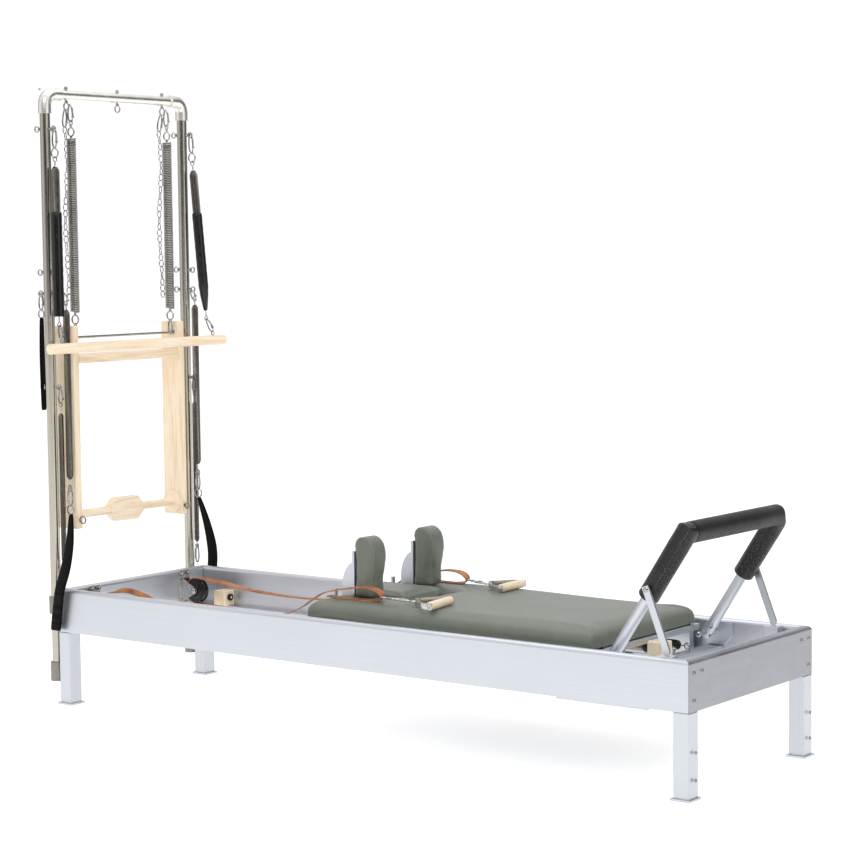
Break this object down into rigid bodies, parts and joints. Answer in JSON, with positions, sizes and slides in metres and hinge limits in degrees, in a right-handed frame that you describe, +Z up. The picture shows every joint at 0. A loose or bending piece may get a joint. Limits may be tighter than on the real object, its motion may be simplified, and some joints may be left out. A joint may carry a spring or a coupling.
{
  "type": "pilates reformer",
  "caption": "Metal pilates reformer with a padded spring carriage, folding foot bar, leather pull straps and a tube tower with a wooden push-through frame and roll-down bar.",
  "frame": {"origin": "centre of the footprint, on the floor under the foot plates", "axes": "+X along the bed towards the foot bar, +Y across the bed towards the far rail, +Z up; the tower stands at the -X end"},
  "size_m": [2.428, 0.818, 1.9815],
  "materials": {
    "bed_aluminium": "brushed, light satin",
    "tower_steel": "polished stainless tube, warm tint",
    "fitting_steel": "satin plate and pins",
    "spring_steel": "close-wound wire, dull",
    "maple": "pale straight-grained maple, clear satin coat",
    "vinyl": "sage-grey upholstery vinyl, fine grain",
    "strap_leather": "tan vegetable-tanned leather, cut edges",
    "black_rubber": "matte black foam rubber and webbing",
    "black_nylon": "matte black nylon wheels"
  },
  "bodies": {
    "frame": {"rail_near": "bed_aluminium", "rail_far": "bed_aluminium", "end_plate_head": "bed_aluminium", "end_plate_foot": "bed_aluminium", "leg_head_near": "bed_aluminium", "leg_head_far": "bed_aluminium", "leg_foot_near": "bed_aluminium", "leg_foot_far": "bed_aluminium", "tower_post_near": "tower_steel", "tower_post_far": "tower_steel", "tower_top": "tower_steel", "post_mount_near": "fitting_steel", "post_mount_far": "fitting_steel", "pulley_bracket_near": "fitting_steel", "pulley_bracket_far": "fitting_steel", "head_stop_near": "maple", "head_stop_far": "maple", "foot_stop": "maple", "spring_bar": "bed_aluminium", "footbar_bracket_near": "fitting_steel", "footbar_bracket_far": "fitting_steel", "prop_seat_near": "fitting_steel", "prop_seat_far": "fitting_steel"},
    "carriage": {"carriage_frame": "bed_aluminium", "carriage_pad": "vinyl", "shoulder_pad_near": "vinyl", "shoulder_pad_far": "vinyl", "shoulder_bracket_near": "fitting_steel", "shoulder_bracket_far": "fitting_steel", "strap_near": "strap_leather", "strap_far": "strap_leather", "handle_near": "maple", "handle_far": "maple"},
    "headrest": {"headrest": "vinyl"},
    "wheel_head_near": {"wheel_head_near": "black_nylon"},
    "wheel_head_far": {"wheel_head_far": "black_nylon"},
    "wheel_foot_near": {"wheel_foot_near": "black_nylon"},
    "wheel_foot_far": {"wheel_foot_far": "black_nylon"},
    "pulley_near": {"pulley_near": "black_nylon"},
    "pulley_far": {"pulley_far": "black_nylon"},
    "footbar": {"footbar_tube": "bed_aluminium", "footbar_pad": "black_rubber"},
    "prop_near": {"prop_near": "fitting_steel"},
    "prop_far": {"prop_far": "fitting_steel"},
    "trapeze_springs": {"trapeze_spring_near": "spring_steel", "trapeze_spring_far": "spring_steel"},
    "trapeze_rod": {"trapeze_rod": "fitting_steel"},
    "trapeze": {"trapeze_stile_near": "maple", "trapeze_stile_far": "maple", "trapeze_rail": "maple", "trapeze_crossbar": "maple"},
    "arm_springs": {"arm_spring_near": "spring_steel", "arm_spring_far": "spring_steel"},
    "rolldown_bar": {"rolldown_bar": "maple"},
    "leg_spring_near": {"leg_spring_near": "spring_steel", "leg_loop_near": "black_rubber"},
    "leg_spring_far": {"leg_spring_far": "spring_steel", "leg_loop_far": "black_rubber"},
    "light_spring_near": {"light_spring_near": "spring_steel"},
    "light_spring_far": {"light_spring_far": "spring_steel"}
  },
  "joints": [
    {"name": "carriage_slide", "type": "slide", "parent": "frame", "child": "carriage", "axis": [-1, 0, 0], "range_m": [0, 0.8], "stiffness_N_per_m": 300, "springref_m": -0.15, "deforming": ["strap_near", "strap_far"]},
    {"name": "headrest_tilt", "type": "hinge", "parent": "carriage", "child": "headrest", "pos_m": [0.0895, 0, 0.412], "axis": [0, 1, 0], "range_deg": [0, 35]},
    {"name": "wheel_head_near_spin", "type": "hinge", "parent": "carriage", "child": "wheel_head_near", "pos_m": [-0.087, -0.295, 0.2823], "axis": [0, 1, 0], "continuous": true},
    {"name": "wheel_head_far_spin", "type": "hinge", "parent": "carriage", "child": "wheel_head_far", "pos_m": [-0.087, 0.295, 0.2823], "axis": [0, 1, 0], "continuous": true},
    {"name": "wheel_foot_near_spin", "type": "hinge", "parent": "carriage", "child": "wheel_foot_near", "pos_m": [0.793, -0.295, 0.2823], "axis": [0, 1, 0], "continuous": true},
    {"name": "wheel_foot_far_spin", "type": "hinge", "parent": "carriage", "child": "wheel_foot_far", "pos_m": [0.793, 0.295, 0.2823], "axis": [0, 1, 0], "continuous": true},
    {"name": "pulley_near_spin", "type": "hinge", "parent": "frame", "child": "pulley_near", "pos_m": [-1.047, -0.2125, 0.308], "axis": [0, 1, 0], "continuous": true},
    {"name": "pulley_far_spin", "type": "hinge", "parent": "frame", "child": "pulley_far", "pos_m": [-1.047, 0.2125, 0.308], "axis": [0, 1, 0], "continuous": true},
    {"name": "footbar_fold", "type": "hinge", "parent": "frame", "child": "footbar", "pos_m": [0.915, 0, 0.341], "axis": [0, 1, 0], "range_deg": [-12, 40]},
    {"name": "prop_near_fold", "type": "hinge", "parent": "footbar", "child": "prop_near", "pos_m": [1.04896, -0.2925, 0.54494], "axis": [0, 1, 0], "range_deg": [-126, 38]},
    {"name": "prop_far_fold", "type": "hinge", "parent": "footbar", "child": "prop_far", "pos_m": [1.04896, 0.2925, 0.54494], "axis": [0, 1, 0], "range_deg": [-126, 38]},
    {"name": "trapeze_swing", "type": "hinge", "parent": "frame", "child": "trapeze_springs", "pos_m": [-1.158, 0, 1.925], "axis": [0, -1, 0], "range_deg": [-25, 1]},
    {"name": "trapeze_pull", "type": "slide", "parent": "trapeze_springs", "child": "trapeze_rod", "axis": [0, 0, -1], "range_m": [0, 0.15], "stiffness_N_per_m": 900, "springref_m": -0.06, "deforming": ["trapeze_spring_near", "trapeze_spring_far"]},
    {"name": "trapeze_tilt", "type": "hinge", "parent": "trapeze_rod", "child": "trapeze", "pos_m": [-1.158, 0, 1.181], "axis": [0, -1, 0], "range_deg": [-25, 15]},
    {"name": "rolldown_swing", "type": "hinge", "parent": "frame", "child": "arm_springs", "pos_m": [-1.137, 0, 1.848], "axis": [0, -1, 0], "range_deg": [0, 60]},
    {"name": "rolldown_pull", "type": "slide", "parent": "arm_springs", "child": "rolldown_bar", "axis": [0, 0, -1], "range_m": [0, 0.35], "stiffness_N_per_m": 250, "springref_m": -0.08, "deforming": ["arm_spring_near", "arm_spring_far"]},
    {"name": "leg_spring_near_swing", "type": "hinge", "parent": "frame", "child": "leg_spring_near", "pos_m": [-1.117, -0.301, 1.318], "axis": [-1, 0, 0], "range_deg": [0, 10]},
    {"name": "leg_spring_far_swing", "type": "hinge", "parent": "frame", "child": "leg_spring_far", "pos_m": [-1.117, 0.301, 1.318], "axis": [1, 0, 0], "range_deg": [0, 10]},
    {"name": "light_spring_near_swing", "type": "hinge", "parent": "frame", "child": "light_spring_near", "pos_m": [-1.139, -0.314, 1.019], "axis": [-1, 0, 0], "range_deg": [0, 25]},
    {"name": "light_spring_far_swing", "type": "hinge", "parent": "frame", "child": "light_spring_far", "pos_m": [-1.139, 0.314, 1.019], "axis": [1, 0, 0], "range_deg": [0, 25]}
  ],
  "couplings": [
    {"joint": "wheel_head_near_spin", "follows": "carriage_slide", "rad_per_m": -33.333},
    {"joint": "wheel_head_far_spin", "follows": "carriage_slide", "rad_per_m": -33.333},
    {"joint": "wheel_foot_near_spin", "follows": "carriage_slide", "rad_per_m": -33.333},
    {"joint": "wheel_foot_far_spin", "follows": "carriage_slide", "rad_per_m": -33.333},
    {"joint": "prop_near_fold", "follows": "footbar_fold", "ratio": -3.12},
    {"joint": "prop_far_fold", "follows": "footbar_fold", "ratio": -3.12}
  ]
}
